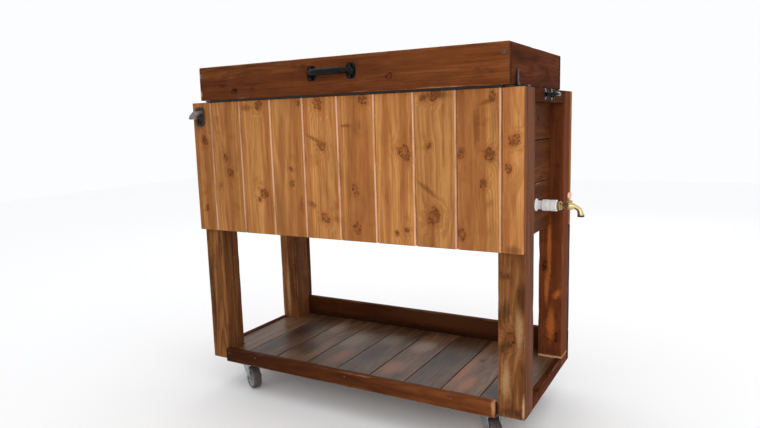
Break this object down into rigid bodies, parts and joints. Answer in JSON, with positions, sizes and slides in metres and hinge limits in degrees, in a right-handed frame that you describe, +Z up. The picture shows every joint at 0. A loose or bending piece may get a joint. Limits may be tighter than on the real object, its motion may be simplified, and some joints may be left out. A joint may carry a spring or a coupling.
{
  "type": "patio cooler cart",
  "caption": "Stained wood patio cooler cart: planked box with hinged lid, insulated tub, drain tap, bottle opener, open shelf and swivel casters.",
  "frame": {"origin": "bottom centre of the whole object's box, at floor level, with the tap, handles and opener included", "axes": "+X to the side with the tap (the width), +Y to the back where the lid hinges, +Z up; the planked front faces -Y"},
  "size_m": [0.992, 0.4702, 0.895],
  "materials": {
    "honey_wood": "honey-brown oil stain, satin",
    "brown_wood": "brown oil stain with knots, satin",
    "dark_wood": "dark reddish-brown stain, satin",
    "shelf_wood": "grey-brown varnish, glossy",
    "hidden_wood": "stained board",
    "black_metal": "gloss black enamel",
    "opener_iron": "dark cast iron, worn",
    "zinc_steel": "zinc plated",
    "wheel_tread": "grey-brown tread on a grey core",
    "tap_brass": "satin brass",
    "tap_copper": "copper coloured",
    "white_pvc": "white pipe",
    "tub_plastic": "white moulded"
  },
  "bodies": {
    "root": {"leg_front_left": "brown_wood", "leg_front_right": "brown_wood", "leg_back_left": "brown_wood", "leg_back_right": "brown_wood", "top_rail_left": "dark_wood", "top_rail_right": "dark_wood", "top_rail_front": "hidden_wood", "top_rail_back": "hidden_wood", "front_plank_1": "honey_wood", "front_plank_2": "honey_wood", "front_plank_3": "honey_wood", "front_plank_4": "honey_wood", "front_plank_5": "honey_wood", "front_plank_6": "honey_wood", "front_plank_7": "honey_wood", "front_plank_8": "honey_wood", "front_plank_9": "honey_wood", "front_plank_10": "honey_wood", "back_panel": "hidden_wood", "side_panel_left": "dark_wood", "side_panel_right": "dark_wood", "box_floor": "hidden_wood", "shelf_deck": "shelf_wood", "shelf_edge_left": "brown_wood", "shelf_edge_right": "brown_wood", "shelf_front_board": "brown_wood", "shelf_back_rail": "dark_wood", "cooler_tub": "tub_plastic", "drain_pipe": "white_pvc", "tap_body": "tap_brass", "side_handle": "black_metal", "hinge_frame_leaf": "zinc_steel", "bottle_opener": "opener_iron", "caster_plate_front_left": "zinc_steel", "caster_plate_front_right": "zinc_steel", "caster_plate_back_left": "zinc_steel", "caster_plate_back_right": "zinc_steel", "back_batten_left": "dark_wood", "back_batten_right": "dark_wood"},
    "lid": {"lid_front_board": "dark_wood", "lid_back_board": "dark_wood", "lid_side_left": "dark_wood", "lid_side_right": "dark_wood", "lid_top_panel": "dark_wood", "lid_liner": "tub_plastic", "lid_handle": "black_metal", "hinge_lid_leaf": "zinc_steel"},
    "tap_lever": {"tap_handle": "tap_copper"},
    "caster_front_left": {"caster_fork_front_left": "zinc_steel", "caster_axle_front_left": "zinc_steel"},
    "wheel_front_left": {"caster_wheel_front_left": "wheel_tread"},
    "caster_front_right": {"caster_fork_front_right": "zinc_steel", "caster_axle_front_right": "zinc_steel"},
    "wheel_front_right": {"caster_wheel_front_right": "wheel_tread"},
    "caster_back_left": {"caster_fork_back_left": "zinc_steel", "caster_axle_back_left": "zinc_steel"},
    "wheel_back_left": {"caster_wheel_back_left": "wheel_tread"},
    "caster_back_right": {"caster_fork_back_right": "zinc_steel", "caster_axle_back_right": "zinc_steel"},
    "wheel_back_right": {"caster_wheel_back_right": "wheel_tread"}
  },
  "joints": [
    {"name": "lid_hinge", "type": "hinge", "parent": "root", "child": "lid", "pos_m": [-0.0385, 0.224, 0.809], "axis": [-1, 0, 0], "range_deg": [0, 100]},
    {"name": "tap_turn", "type": "hinge", "parent": "root", "child": "tap_lever", "pos_m": [0.461, 0.029, 0.55], "axis": [0, 0, 1], "range_deg": [0, 90]},
    {"name": "swivel_front_left", "type": "hinge", "parent": "root", "child": "caster_front_left", "pos_m": [-0.398, -0.129, 0.082], "axis": [0, 0, 1], "continuous": true},
    {"name": "roll_front_left", "type": "hinge", "parent": "caster_front_left", "child": "wheel_front_left", "pos_m": [-0.37681, -0.14027, 0.0315], "axis": [0.4695, 0.8829, 0], "continuous": true},
    {"name": "swivel_front_right", "type": "hinge", "parent": "root", "child": "caster_front_right", "pos_m": [0.321, -0.129, 0.082], "axis": [0, 0, 1], "continuous": true},
    {"name": "roll_front_right", "type": "hinge", "parent": "caster_front_right", "child": "wheel_front_right", "pos_m": [0.33797, -0.14597, 0.0315], "axis": [0.7071, 0.7071, 0], "continuous": true},
    {"name": "swivel_back_left", "type": "hinge", "parent": "root", "child": "caster_back_left", "pos_m": [-0.398, 0.177, 0.082], "axis": [0, 0, 1], "continuous": true},
    {"name": "roll_back_left", "type": "hinge", "parent": "caster_back_left", "child": "wheel_back_left", "pos_m": [-0.37545, 0.16879, 0.0315], "axis": [0.342, 0.9397, 0], "continuous": true},
    {"name": "swivel_back_right", "type": "hinge", "parent": "root", "child": "caster_back_right", "pos_m": [0.321, 0.177, 0.082], "axis": [0, 0, 1], "continuous": true},
    {"name": "roll_back_right", "type": "hinge", "parent": "caster_back_right", "child": "wheel_back_right", "pos_m": [0.34066, 0.16323, 0.0315], "axis": [0.5736, 0.8192, 0], "continuous": true}
  ]
}
